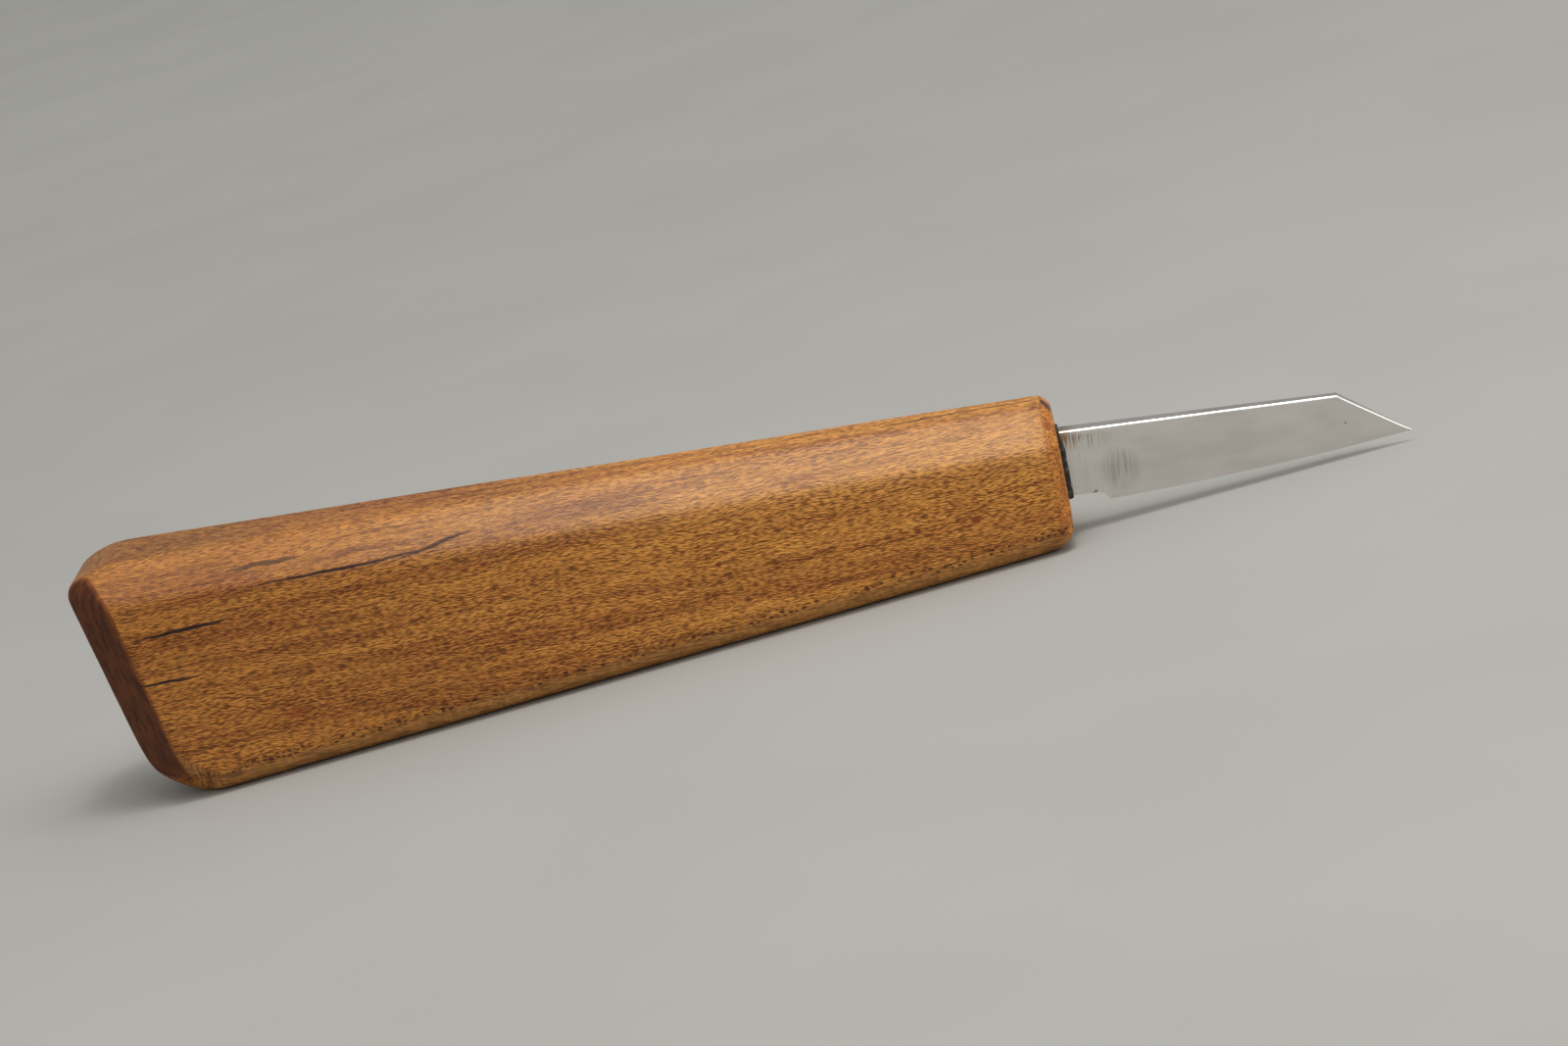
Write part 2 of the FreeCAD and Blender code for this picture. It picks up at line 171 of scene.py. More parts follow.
WOOD = {                        # linear colours
    "dark_band": (0.375, 0.116, 0.015),
    "pale_band": (0.620, 0.248, 0.039),
    "line": (0.25, 0.070, 0.009),
    "red_blotch": (0.42, 0.106, 0.014),
    "pale_blotch": (0.62, 0.275, 0.052),
    "dark_dash": (0.130, 0.032, 0.003),
    "light_dash": (1.0, 0.47, 0.10),
    "light_thread": (0.95, 0.42, 0.085),
    "light_grit": (0.90, 0.45, 0.11),
    "line_shade": (0.66, 0.52, 0.42),
    "band_shade": (0.78, 0.68, 0.60),
    # painted sheen, added to the chamfers' colour
    "painted_sheen": (0.034, 0.060, 0.063),
    # painted shade, darker towards the butt, and more so on the top there
    "painted_butt_shade": (0.70, 0.62, 0.54),
    "painted_crown_shade": (0.82, 0.86, 0.86),
    "end_dark": (0.066, 0.015, 0.002),
    "end_pale": (0.132, 0.036, 0.006),
    "end_pore": (0.040, 0.010, 0.003),
    "patina_dark": (0.13, 0.028, 0.005),
    "patina_pale": (0.27, 0.075, 0.014),
    "rim_dark": (0.42, 0.115, 0.016),
    "rim_pale": (0.92, 0.37, 0.070),
    "rim_rubbed": (0.30, 0.078, 0.012),
    "rim_prick": (0.17, 0.040, 0.006),
    "crease": (0.16, 0.040, 0.006),
    # painted light: the underside's paler olive, standing in for bounce light from the floor
    "olive_dark": (0.34, 0.160, 0.045),
    "olive_pale": (0.70, 0.345, 0.100),
    "fleck": (0.060, 0.014, 0.004),
    "gum": (0.022, 0.007, 0.005),
    "smudge": (0.28, 0.050, 0.008),
}
WOOD_SPECULAR = 0.32
WOOD_BUMP = (0.60, 0.00010)     # strength, and distance in metres

# Marks in the wood. Streaks: start, end, half thickness, strength.
NEAR_SIDE_STREAKS = [           # along the knife and up
    ((-65.2, 27.8), (-53.8, 26.9), 0.32, 0.75),
    ((-63.4, 25.4), (-40.4, 23.5), 0.24, 1.0),
    ((-43.6, 23.3), (-32.0, 24.2), 0.26, 0.85),
    ((-54.0, 24.4), (-37.0, 23.5), 0.24, 0.85),
    ((-78.6, 22.6), (-64.6, 22.1), 0.31, 1.0),
    ((-80.4, 16.8), (-70.4, 15.9), 0.26, 1.0),
    ((-78.0, 19.7), (-69.0, 18.9), 0.10, 0.45),
    ((-76.0, 12.6), (-66.0, 11.6), 0.10, 0.35),
]
TOP_STREAKS = [                 # along the knife and across it
    ((18.0, -1.1), (34.0, 0.8), 0.42, 0.8),
    ((30.0, 0.5), (41.5, 0.3), 0.30, 0.8),
    ((-30.0, 2.2), (-8.0, 1.2), 0.30, 0.4),
    ((38.6, -2.2), (41.4, -4.4), 0.22, 0.8),
]
SCORCH = ((40.9, 1.0), (41.9, -3.6), 0.75)      # at the front end of the top
SMUDGES = [                     # place, half sizes, strength
    ((-61.1, -10.4, 7.9), (2.2, 5.0, 1.0), 0.55),
    ((29.0, -8.6, 7.6), (0.9, 4.0, 0.5), 0.75),
    ((41.0, -5.7, 16.4), (0.9, 1.2, 0.9), 0.65),
    ((-83.2, -5.3, 25.1), (0.6, 0.8, 0.6), 0.80),
    ((-81.8, -6.7, 23.1), (0.4, 0.6, 0.4), 0.80),
]

# ---- steel: sizes along the blade, across it and down ----
STEEL_SIZES = {
    "cloud": (9, 6, 3.5),
    "cross": (0.23, 1.0, 5.0),
    "lengthwise": (9.0, 1.0, 0.09),
}
STEEL = {
    "dark": (0.71, 0.69, 0.656),
    "pale": (0.81, 0.79, 0.756),
    "scratch": (0.93, 0.92, 0.90),
    "patch": (0.34, 0.315, 0.285),
    "stain": (0.36, 0.245, 0.135),
    "corner": (0.32, 0.190, 0.090),
    "pit": (0.16, 0.14, 0.125),
}
PATCH_PLACE, PATCH_SIZES = (7.5, -1.0, 6.0), (2.7, 9.0, 3.0)
PITS = [((4.2, -1.0, 8.6), 0.22), ((36.8, -1.0, 3.8), 0.16), ((3.9, -1.0, 8.75), 0.16)]
PIT_ACROSS = 9.0
STEEL_BUMP = (0.12, 0.00003)

# ---- epoxy ----
EPOXY_GRAIN, EPOXY_LUMPS = (0.16, 0.16, 0.16), (0.5, 0.5, 0.6)
EPOXY_DARK, EPOXY_PALE = (0.012, 0.013, 0.013), (0.036, 0.036, 0.034)
EPOXY_DUST = (0.22, 0.20, 0.18)
EPOXY_BUMP = (0.5, 0.00012)
BEAD_SPECKLE, BEDDING_SPECKLE = 0.22, 0.05

# ---- studio, in metres ----
FLOOR_REACH, FLOOR_QUADS = 6.0, 48
FLOOR_CLOUDS = (60, 60, 60)
FLOOR_DARK, FLOOR_PALE = (0.478, 0.474, 0.450), (0.498, 0.493, 0.470)
# painted shade on the floor near the knife, against the lamps' pool of light
FLOOR_NEAR_SHADE = (0.820, 0.808, 0.800)
LIGHTS = [                      # name, place from the knife's centre, size, watts
    ("overhead", (0.16, -0.20, 0.80), (0.62, 0.52), 2.75),
    ("glint", (0.14, -0.185, 0.82), (0.15, 0.15), 1.45),
    ("front_right", (0.86, -0.42, 0.52), (0.4, 0.4), 1.4),
]
SKY = (1.0, 0.995, 0.97, 1.0)
SKY_BY_HEIGHT = (0.0, 1.0, 0.42, 0.66)          # from, to, strength there
SKY_BEHIND = (0.70, 0.98, 1.0, 0.50)
TILT = math.radians(16.16)      # the view is rolled, so that the knife points up to the right
PITCH = math.radians(14.0)
DISTANCE = 0.6048
AIM_OFFSET = Vector((4.85, 0.0, -4.25)) * MM    # from the middle of the knife's box
LENS = 108.0
SENSOR = 36.0


# ------------------------------------------------------------------ flats of the handle


def unit(vector):
    vector = np.array(vector, float)
    return vector / np.linalg.norm(vector)


def slope(degrees):
    return math.cos(math.radians(degrees)), math.sin(math.radians(degrees))


def front_x(height):
    """Where the leaning front face is at a height."""
    return FRONT_X + height * math.tan(math.radians(FRONT_LEAN))


def roof(x):
    """Height of the sloping top."""
    return FRONT_HEIGHT + math.tan(math.radians(TOP_SLOPE)) * (FRONT_X - x)


def half_width(x):
    return FRONT_HALF_WIDTH + WIDENING * (FRONT_X - x)


def outward_normals():
    top_cos, top_sin = slope(TOP_SLOPE)
    end_cos, end_sin = slope(END_LEAN)
    front_cos, front_sin = slope(FRONT_LEAN)
    fall_cos, fall_sin = slope(BROW_FALL - TOP_SLOPE)
    return SimpleNamespace(
        top=np.array([top_sin, 0, top_cos]),
        under=np.array([0, 0, -1.0]),
        end=np.array([-end_cos, 0, -end_sin]),
        front=np.array([front_cos, 0, -front_sin]),
        fall=np.array([-fall_sin, 0, fall_cos]),
    )


def handle_planes():
    """(group, outward normal, point on it) of every flat that the handle was worked to."""
    out = outward_normals()
    end_foot = np.array([END_FOOT_X, 0, 0])
    front_foot = np.array([FRONT_X, 0, 0])
    planes = [
        ("top", out.top, np.array([FRONT_X, 0, FRONT_HEIGHT])),
        ("under", out.under, np.zeros(3)),
        ("end", out.end, end_foot),
        ("front", out.front, front_foot),
        ("fall", out.fall, np.array(BROW)),
        ("brow", unit(out.fall + out.end), np.array(BROW) + BROW_CUT),
    ]
    planes += rounding("heel", out.end, out.under, end_foot, HEEL_LEG, HEEL_FLATS)
    planes += rounding("toe", out.under, out.front, front_foot, TOE_LEG, TOE_FLATS)
    for hand in (-1.0, 1.0):
        planes += lengthwise_planes(out, hand)
        planes += butt_planes(out, hand, end_foot)
        rim_point = front_foot + [0, hand * (FRONT_HALF_WIDTH - RIM), 0]
        planes.append(("rim", unit(out.front + [0, hand, 0]), rim_point))
    rim_point = np.array([front_x(FRONT_HEIGHT), 0, FRONT_HEIGHT - RIM])
    planes.append(("rim", unit(out.front + out.top), rim_point))
    return planes


def lengthwise_planes(out, hand):
    """One side with its two chamfers, and the rim where the upper one ends."""
    side = unit([WIDENING, hand, 0])
    bevel = unit(side + out.top)
    edge = np.array([FRONT_X, hand * FRONT_HALF_WIDTH, 0])
    top_height = FRONT_HEIGHT - TOP_CHAMFER
    bevel_end = np.array([front_x(top_height), edge[1], top_height])
    return [
        ("side", side, edge),
        ("chamfer", bevel, edge + [0, 0, top_height]),
        ("rim", unit(out.front + bevel), bevel_end - RIM * bevel),
        ("under_chamfer", unit(side + out.under), edge + [0, 0, UNDER_CHAMFER]),
    ]


def butt_planes(out, hand, end_foot):
    """The chamfer up one side of the butt, over its brow and round its heel."""
    inset = np.array([0, hand * (half_width(END_FOOT_X) - END_CHAMFER), 0])
    brow_normal = unit(out.fall + out.end)
    brow_point = np.array(BROW) + BROW_CORNER_CUT + inset
    heel_normal = unit(out.end + out.under)
    depth = HEEL_LEG * math.tan(math.radians(90 - END_LEAN) / 4)
    heel_point = end_foot - depth * heel_normal + inset
    return [
        ("end_chamfer", unit(out.end + [0, hand, 0]), end_foot + inset),
        ("end_chamfer", unit(brow_normal + [0, hand, 0]), brow_point),
        ("heel_chamfer", unit(heel_normal + [0, hand, 0]), heel_point),
    ]


def rounding(group, first, second, corner, leg, count):
    """Flats tangent to the arc that rounds the corner between two planes."""
    turn = math.acos(float(np.dot(first, second)))
    radius = leg / math.tan(turn / 2)
    centre = corner - (first + second) / (1 + math.cos(turn)) * radius
    found = []
    for step in range(1, count + 1):
        share = step / (count + 1)
        normal = unit(first * math.sin(turn * (1 - share)) + second * math.sin(turn * share))
        found.append((group, normal, centre + normal * radius))
    return found


# ------------------------------------------------------------------ meshes


def worked_by_hand(points):
    """Slight waviness that sanding by hand leaves, in millimetres."""
    x, y, z = points.T
    wave = np.sin(x / 7.3 + z / 9.0) * np.sin(y / 6.1 + 1.0)
    return 0.035 * wave + 0.03 * np.sin(x / 17.0 + 0.4 * y)


def distances(points, planes):
    return np.stack([(points - at) @ normal for _, normal, at in planes], axis=1)


def smooth_max(values, sharpness):
    """Row by row, the largest value with its corners rounded over."""
    peak = values.max(axis=1)
    raised = np.exp(sharpness * (values - peak[:, None]))
    return peak + np.log(raised.sum(axis=1)) / sharpness


def shares_of(values, sharpness):
    """How much each plane has to do with the surface at every point, adding up to 1."""
    raised = np.exp(sharpness * (values - values.max(axis=1, keepdims=True)))
    return raised / raised.sum(axis=1, keepdims=True)


def box_grid(counts):
    """A box's surface as a closed grid: unit coordinates 0..1 of its vertices, and its quads."""
    index = {}
    quads = []
    for axis, (u, v), flipped_end in ((2, (0, 1), 0), (1, (0, 2), 1), (0, (1, 2), 0)):
        for end in (0, 1):
            for a in range(counts[u]):
                for b in range(counts[v]):
                    quad = []
                    for right, up in ((0, 0), (1, 0), (1, 1), (0, 1)):
                        key = [0, 0, 0]
                        key[axis], key[u], key[v] = end * counts[axis], a + right, b + up
                        quad.append(index.setdefault(tuple(key), len(index)))
                    quads.append(quad[::-1] if end == flipped_end else quad)
    return np.array(list(index)) / counts, quads


def cast(anchors, targets, solid):
    """Slide each vertex along its ray, from inside, until the solid's field is zero."""
    low = np.zeros(len(anchors))
    high = np.full(len(anchors), CAST_REACH)
    way = targets - anchors
    for _ in range(CAST_STEPS):
        middle = (low + high) / 2
        outside = solid(anchors + way * middle[:, None]) > 0
        high = np.where(outside, middle, high)
        low = np.where(outside, low, middle)
    return anchors + way * low[:, None]


def box_of(node):
    return (np.array(corner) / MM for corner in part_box(node))


def mesh_object(name, points, quads):
    mesh = bpy.data.meshes.new(name)
    mesh.from_pydata([tuple(point) for point in points * MM], [], quads)
    mesh.shade_smooth()
    piece = bpy.data.objects.new(name, mesh)
    bpy.context.scene.collection.objects.link(piece)
    return piece


def paint(piece, name, values):
    """Store one number per vertex for the material to read."""
    attribute = piece.data.attributes.new(name, "FLOAT", "POINT")
    attribute.data.foreach_set("value", np.asarray(values, np.float32))


def make_handle():
    planes = handle_planes()
    crisp = [plane for plane in planes if plane[0] in CRISP_GROUPS]
    soft = [plane for plane in planes if plane[0] not in CRISP_GROUPS]
    low, high = box_of("handle")
    share, quads = box_grid(HANDLE_GRID)
    turn = 2 * math.pi
    crowded = share[:, 0] - CROWDING * np.sin(turn * share[:, 0]) / turn
    x = low[0] + crowded * (high[0] - low[0])
    across = (share[:, 1] * 2 - 1) * half_width(x)
    targets = np.stack([x, across, share[:, 2] * roof(x)], axis=1)
    inner_x = np.clip(x, low[0] + BUTT_INSET, high[0] - FRONT_INSET)
    anchors = np.stack([inner_x, np.zeros_like(x), roof(inner_x) / 2], axis=1)

    def solid(points):
        body = smooth_max(distances(points, soft), SHARPNESS)
        values = np.column_stack([body, distances(points, crisp)])
        waves = worked_by_hand(points) * WAVINESS
        return smooth_max(values, CRISPNESS) + SANDED_OFF + waves

    points = cast(anchors, targets, solid)
    points[:, 2] = np.maximum(points[:, 2], FLOOR_GAP)
    piece = mesh_object("handle_wood", points, quads)
    paint_handle(piece, points, planes)
    return piece


def paint_handle(piece, points, planes):
    """Mark where each kind of surface is, for the wood to follow."""
    away = distances(points, planes)
    shares = shares_of(away, PAINT_SHARPNESS)

    def share_of(*names, among=shares):
        return sum(among[:, i] for i, plane in enumerate(planes) if plane[0] in names)

    end_cos, end_sin = slope(END_LEAN)
    inward = (points - [END_FOOT_X, 0, 0]) @ [end_cos, 0, end_sin]
    near_end = np.clip(END_CHAMFER + END_GRAIN_MARGIN - inward, 0, 1)
    heel = share_of("heel", "heel_chamfer")
    fade_from, fade_to, least = HEEL_FADE
    fade = np.clip((points[:, 2] - fade_from) / (fade_to - fade_from), least, 1)
    end_grain = share_of("end", "brow", "end_chamfer") + heel * near_end
    under_side = share_of("under", "under_chamfer", "toe")
    paint(piece, "end_grain", end_grain * fade)
    paint(piece, "front_grain", share_of("front", "rim"))
    paint(piece, "under_side", under_side + HEEL_UNDER_SIDE * heel * (1 - near_end))
    paint(piece, "top_faces", share_of("top", "fall"))
    broad = shares_of(away, BEVEL_PAINT_SHARPNESS)
    paint(piece, "bevels", share_of("chamfer", among=broad))


def make_bead():
    """The squeezed-out epoxy: an uneven lip round the blade, thickest at its lower half."""
    low, high = box_of("epoxy_bead")
    cos, sin = slope(FRONT_LEAN)
    forward = np.array([cos, 0, -sin])
    up = np.array([sin, 0, cos])
    foot = np.array([FRONT_X, 0, 0])
    share, quads = box_grid(BEAD_GRID)
    height = share[:, 2] * (high[2] - low[2] - 2 * BEAD_MARGIN) + low[2] + BEAD_MARGIN
    height = height[:, None] / cos
    targets = foot + height * up + share[:, :1] * BEAD_DEPTH * forward
    targets[:, 1] = (share[:, 1] * 2 - 1) * BEAD_HALF_WIDTH
    middle = (low[2] + high[2]) / 2
    core = np.clip(height, middle - BEAD_CORE, middle + BEAD_CORE)
    anchors = foot + core * up + 2 * BEAD_MARGIN * forward

    def solid(points):
        ahead = (points - foot) @ forward
        _, y, z = points.T
        lumps = 0.07 * np.sin(z * 2.3 + 1.0) + 0.05 * np.sin(z * 5.1 + y * 3.0)
        lumps = lumps + 0.03 * np.sin(y * 7.0 + z * 9.0)
        turning = 1 + np.exp((z - BEAD_TURN_HEIGHT) * BEAD_TURN_RATE)
        reach = np.minimum(BEAD_THIN + BEAD_SWELL / turning + lumps, BEAD_LIP)
        width = 1.95 + 0.12 * np.sin(z * 1.7) + 0.08 * np.sin(z * 4.3 + 2)
        above, below = z - high[2] + 0.12, low[2] + 0.15 - z
        walls = [ahead - reach, np.abs(y) - width, above, below, -BEAD_MARGIN - ahead]
        return smooth_max(np.stack(walls, axis=1), BEAD_SHARPNESS)

    return mesh_object("epoxy_bead_lip", cast(anchors, targets, solid), quads)


def blade_top(along):
    """Depth of the spine, and of the clip in front of it."""
    slant = TIP[1] / (TIP[0] - CLIP_START)
    return np.maximum(along - CLIP_START, 0) * slant


def blade_bottom(along):
    """Depth of the ricasso, the notch and the cutting edge."""
    chord = np.clip((along - HEEL[0]) / (TIP[0] - HEEL[0]), 0, 1)
    edge = HEEL[1] + (TIP[1] - HEEL[1]) * chord + 4 * EDGE_BOW * chord * (1 - chord)
    into = np.clip(along - NOTCH_START, 0, HEEL[0] - NOTCH_START)
    notch = RICASSO_DEPTH + NOTCH_RADIUS - np.sqrt(NOTCH_RADIUS**2 - into**2)
    return np.where(along > HEEL[0] - TINY, edge, notch)


def ground_half(along, depth):
    """Half thickness left by the two flat-ground faces."""
    foot = GRIND_DEPTH - along * math.tan(math.radians(GRIND_RISE))
    return EDGE_HALF + max(foot - depth, 0) * math.tan(math.radians(GRIND_ANGLE))


def blade_section(along):
    """(depth, half thickness) from the spine's middle down to the edge, at one place."""
    top, bottom = float(blade_top(along)), float(blade_bottom(along))
    room = max(bottom - top, 1e-4)
    fine = min(EDGE_BEVEL, room * 0.3) if along > HEEL[0] - TINY else 0.0
    half_top = ground_half(along, top)
    bevel = min(SPINE_BEVEL, half_top * 0.8, room * 0.4)
    section = [(top, 0.0), (top, (half_top - bevel) * 0.6)]
    for share in np.linspace(0, 1, 6):
        depth = top + bevel * share
        bulge = SPINE_BULGE * bevel * math.sin(math.pi * share)
        section.append((depth, ground_half(along, depth) - bevel * (1 - share) + bulge))
    for share in (0.2, 0.4, 0.6, 0.8, 1.0):
        depth = top + bevel + (room - bevel - fine) * share
        section.append((depth, ground_half(along, depth)))
    sharp = SHARP_HALF if fine else ground_half(along, bottom)
    return section + [(bottom, min(sharp, section[-1][1])), (bottom, 0.0)]


def place_on_spine(points):
    """From along, across and depth to the knife's own frame."""
    cos, sin = slope(BLADE_DROOP)
    along, across, depth = np.array(points, float).T
    x = front_x(SPINE_HEIGHT) + along * cos - depth * sin
    z = SPINE_HEIGHT - along * sin - depth * cos
    return np.stack([x, across, z], axis=1)


def tube(rings, first=0):
    """Quads between equal rings of points, numbered from first, and a face at both ends."""
    count = len(rings[0])
    points = [point for ring in rings for point in ring]
    faces = []
    for a in range(first, first + len(points) - count, count):
        for i in range(count):
            j = (i + 1) % count
            faces.append((a + i, a + j, a + count + j, a + count + i))
    faces.append(tuple(range(first, first + count))[::-1])
    faces.append(tuple(range(first + len(points) - count, first + len(points))))
    return points, faces


def make_blade():
    in_ricasso, in_notch, on_edge, on_clip = STATIONS
    stations = np.concatenate([
        np.linspace(ROOT, NOTCH_START, in_ricasso),
        np.linspace(NOTCH_START, HEEL[0] - 1e-3, in_notch)[1:],
        np.linspace(HEEL[0], CLIP_START, on_edge),
        np.linspace(CLIP_START, TIP[0] - TIP_BLUNTING, on_clip)[1:],
    ])
    rings = []
    for along in stations:
        section = blade_section(along)
        near = [(along, -half, depth) for depth, half in section]
        far = [(along, half, depth) for depth, half in section[-2:0:-1]]
        rings.append(near + far)
    points, faces = tube(rings)
    tang_rings = [
        [(along, y * TANG_HALF, top + (bottom - top) * share) for y, share in TANG_OUTLINE]
        for along, top, bottom in TANG
    ]
    tang_points, tang_faces = tube(tang_rings, first=len(points))
    points, faces = points + tang_points, faces + tang_faces
    piece = mesh_object("blade_steel", place_on_spine(points), faces)
    welded = bmesh.new()
    welded.from_mesh(piece.data)
    bmesh.ops.remove_doubles(welded, verts=welded.verts, dist=WELD)
    bmesh.ops.recalc_face_normals(welded, faces=welded.faces)
    welded.to_mesh(piece.data)
    welded.free()
    piece.data.set_sharp_from_angle(angle=math.radians(EDGE_ANGLE))
    return piece


# ------------------------------------------------------------------ materials


class Nodes:
    """A material's node tree, built with short calls. Values are numbers or sockets."""

    def __init__(self, name):
        self.material = bpy.data.materials.new(name)
        self.material.use_nodes = True
        self.tree = self.material.node_tree
        self.shader = self.tree.nodes["Principled BSDF"]
        coordinates = self.add("ShaderNodeTexCoord").outputs["Object"]
        self.place = self.vector("SCALE", coordinates, scale=1 / MM)
        self.x, self.y, self.z = self.split(self.place)

    def add(self, kind, **settings):
        node = self.tree.nodes.new(kind)
        for name, value in settings.items():
            setattr(node, name, value)
        return node

    def plug(self, socket, value):
        if isinstance(value, bpy.types.NodeSocket):
            self.tree.links.new(value, socket)
        else:
            socket.default_value = value

    def math(self, operation, *values):
        node = self.add("ShaderNodeMath", operation=operation)
        for socket, value in zip(node.inputs, values):
            self.plug(socket, value)
        return node.outputs[0]

    def times(self, a, b):
        return self.math("MULTIPLY", a, b)

    def plus(self, a, b):
        return self.math("ADD", a, b)

    def minus(self, a, b):
        return self.math("SUBTRACT", a, b)

    def larger(self, a, b):
        return self.math("MAXIMUM", a, b)

    def vector(self, operation, *values, scale=None):
        node = self.add("ShaderNodeVectorMath", operation=operation)
        for socket, value in zip(node.inputs, values):
            self.plug(socket, value)
        if scale is not None:
            self.plug(node.inputs["Scale"], scale)
        return node.outputs["Value" if operation in ("DOT_PRODUCT", "LENGTH") else "Vector"]

    def dot(self, vector, way):
        return self.vector("DOT_PRODUCT", vector, way)

    def split(self, vector):
        node = self.add("ShaderNodeSeparateXYZ")
        self.plug(node.inputs[0], vector)
        return node.outputs

    def join(self, x, y, z):
        node = self.add("ShaderNodeCombineXYZ")
        for socket, value in zip(node.inputs, (x, y, z)):
            self.plug(socket, value)
        return node.outputs[0]

    def stretch(self, vector, sizes):
        """The vector in units of the given feature sizes along its three axes."""
        return self.vector("DIVIDE", vector, sizes)

    def wander(self, vector, sizes, reach):
        """A smooth random offset in all three directions."""
        random = self.noise(vector, sizes, detail=1.0, output="Color")
        return self.vector("SCALE", self.vector("SUBTRACT", random, (0.5, 0.5, 0.5)), scale=reach)

    def off(self, vector, place, sizes):
        """How many of the given sizes away from a place the vector is."""
        return self.vector("LENGTH", self.stretch(self.vector("SUBTRACT", vector, place), sizes))

    def noise(self, vector, sizes, detail=2.0, roughness=0.5, output="Fac"):
        node = self.add("ShaderNodeTexNoise")
        self.plug(node.inputs["Vector"], self.stretch(vector, sizes))
        node.inputs["Scale"].default_value = 1.0
        node.inputs["Detail"].default_value = detail
        node.inputs["Roughness"].default_value = roughness
        return node.outputs[output]

    def cells(self, vector, sizes, dimensions="3D"):
        node = self.add("ShaderNodeTexVoronoi", voronoi_dimensions=dimensions)
        self.plug(node.inputs["Vector"], self.stretch(vector, sizes))
        node.inputs["Scale"].default_value = 1.0
        return node.outputs

    def chosen(self, cells, chance):
        """1 in that share of the cells, and 0 in the others."""
        return self.math("LESS_THAN", self.split(cells["Color"])[0], chance)

    def span(self, value, low, high, out_low=0.0, out_high=1.0):
        """Smoothly map value from low..high to out_low..out_high, clamped."""
        node = self.add("ShaderNodeMapRange", interpolation_type="SMOOTHSTEP")
        for socket, number in zip(node.inputs, (value, low, high, out_low, out_high)):
            self.plug(socket, number)
        return node.outputs["Result"]

    def mix(self, share, a, b, blend="MIX"):
        node = self.add("ShaderNodeMix", data_type="RGBA", blend_type=blend)
        self.plug(node.inputs["Factor"], share)
        for name, value in (("A", a), ("B", b)):
            socket = next(s for s in node.inputs if s.name == name and s.type == "RGBA")
            self.plug(socket, (*value, 1.0) if isinstance(value, tuple) else value)
        return next(s for s in node.outputs if s.type == "RGBA")

    def painted(self, name):
        return self.add("ShaderNodeAttribute", attribute_name=name).outputs["Fac"]

    def streak(self, a, b, start, end, thickness, softness=0.16):
        """A lens-shaped streak between two points of the plane whose coordinates are a and b."""
        across = (end[0] - start[0], end[1] - start[1])
        length = math.hypot(*across)
        way = (across[0] / length, across[1] / length, 0.0)
        aside = (-way[1], way[0], 0.0)
        here = self.join(self.minus(a, start[0]), self.minus(b, start[1]), 0.0)
        share = self.math("DIVIDE", self.dot(here, way), length)
        distance = self.math("ABSOLUTE", self.dot(here, aside))
        room = self.times(share, self.minus(1.0, share))
        lens = self.times(self.larger(room, 0.0), 4.0 * thickness)
        return self.span(self.minus(lens, distance), -softness * 0.3, softness)

    def set(self, name, value):
        self.plug(self.shader.inputs[name], value)

    def bump(self, height, strength, distance):
        node = self.add("ShaderNodeBump")
        node.inputs["Strength"].default_value = strength
        node.inputs["Distance"].default_value = distance
        self.plug(node.inputs["Height"], height)
        return node.outputs["Normal"]


def wood_material():
    """Oiled cherry: soft bands, fine ray dashes along the grain, dark gum streaks, worn edges, a
    painted sheen on the chamfers and painted shade towards the butt.
    """
    n = Nodes("oiled_cherry")
    figure = wood_figure(n)
    end_grain = n.painted("end_grain")
    bevels = n.painted("bevels")

    colour = figured_colour(n, figure, bevels)
    colour = butt_shade_colour(n, colour, bevels)
    colour = end_grain_colour(n, colour, end_grain)
    colour = front_rim_colour(n, colour, figure)
    # Painted light: the underside is paler and more olive, standing in for bounce light from the
    # floor.
    olive = n.mix(n.span(figure.threads, 0.4, 0.6), WOOD["olive_dark"], WOOD["olive_pale"])
    colour = n.mix(n.times(n.painted("under_side"), 0.68), colour, olive)
    colour = n.mix(flecks_by_the_underside(n, figure.grain), colour, WOOD["fleck"])
    marks = gum_streaks(n, n.split(figure.ripple)[2])
    colour = n.mix(marks, colour, WOOD["gum"])
    n.set("Base Color", n.mix(red_smudges(n), colour, WOOD["smudge"]))

    rough = n.span(figure.dashes, 0.1, 0.6, 0.35, 0.44)
    n.set("Roughness", n.plus(rough, n.times(end_grain, 0.35)))
    n.shader.inputs["Specular IOR Level"].default_value = WOOD_SPECULAR
    height = n.minus(n.times(figure.threads, 0.6), n.times(figure.dashes, 0.7))
    height = n.plus(height, n.times(figure.grit, 0.5))
    height = n.minus(height, n.times(marks, 0.5))
    n.set("Normal", n.bump(height, *WOOD_BUMP))
    return n.material


def wood_figure(n):
    """The textures that the wood is made of, all in the direction of its grain."""
    cos, sin = slope(GRAIN_FALL)
    grain = n.join(n.dot(n.place, (cos, 0, -sin)), n.y, n.dot(n.place, (sin, 0, cos)))
    ripple = n.wander(grain, WOOD_SIZES["ripple"], RIPPLE)
    flow = n.vector("ADD", grain, n.wander(grain, WOOD_SIZES["sway"], SWAY))
    fine = n.vector("ADD", flow, ripple)
    weave = n.cells(around(n, fine), (*WEAVE_CELL, 1.0), "2D")["Distance"]
    drift = n.noise(fine, WOOD_SIZES["drift"], detail=1.0)
    return SimpleNamespace(
        grain=grain,
        ripple=ripple,
        bands=n.noise(flow, WOOD_SIZES["bands"], detail=3.0, roughness=0.55),
        lines=n.noise(flow, WOOD_SIZES["lines"], roughness=0.6),
        blotch=n.noise(grain, WOOD_SIZES["blotch"]),
        dashes=n.plus(weave, n.span(drift, 0.3, 0.7, 0.12, -0.12)),
        threads=n.noise(fine, WOOD_SIZES["threads"], detail=1.0),
        grit=n.noise(grain, WOOD_SIZES["grit"], detail=1.0),
    )


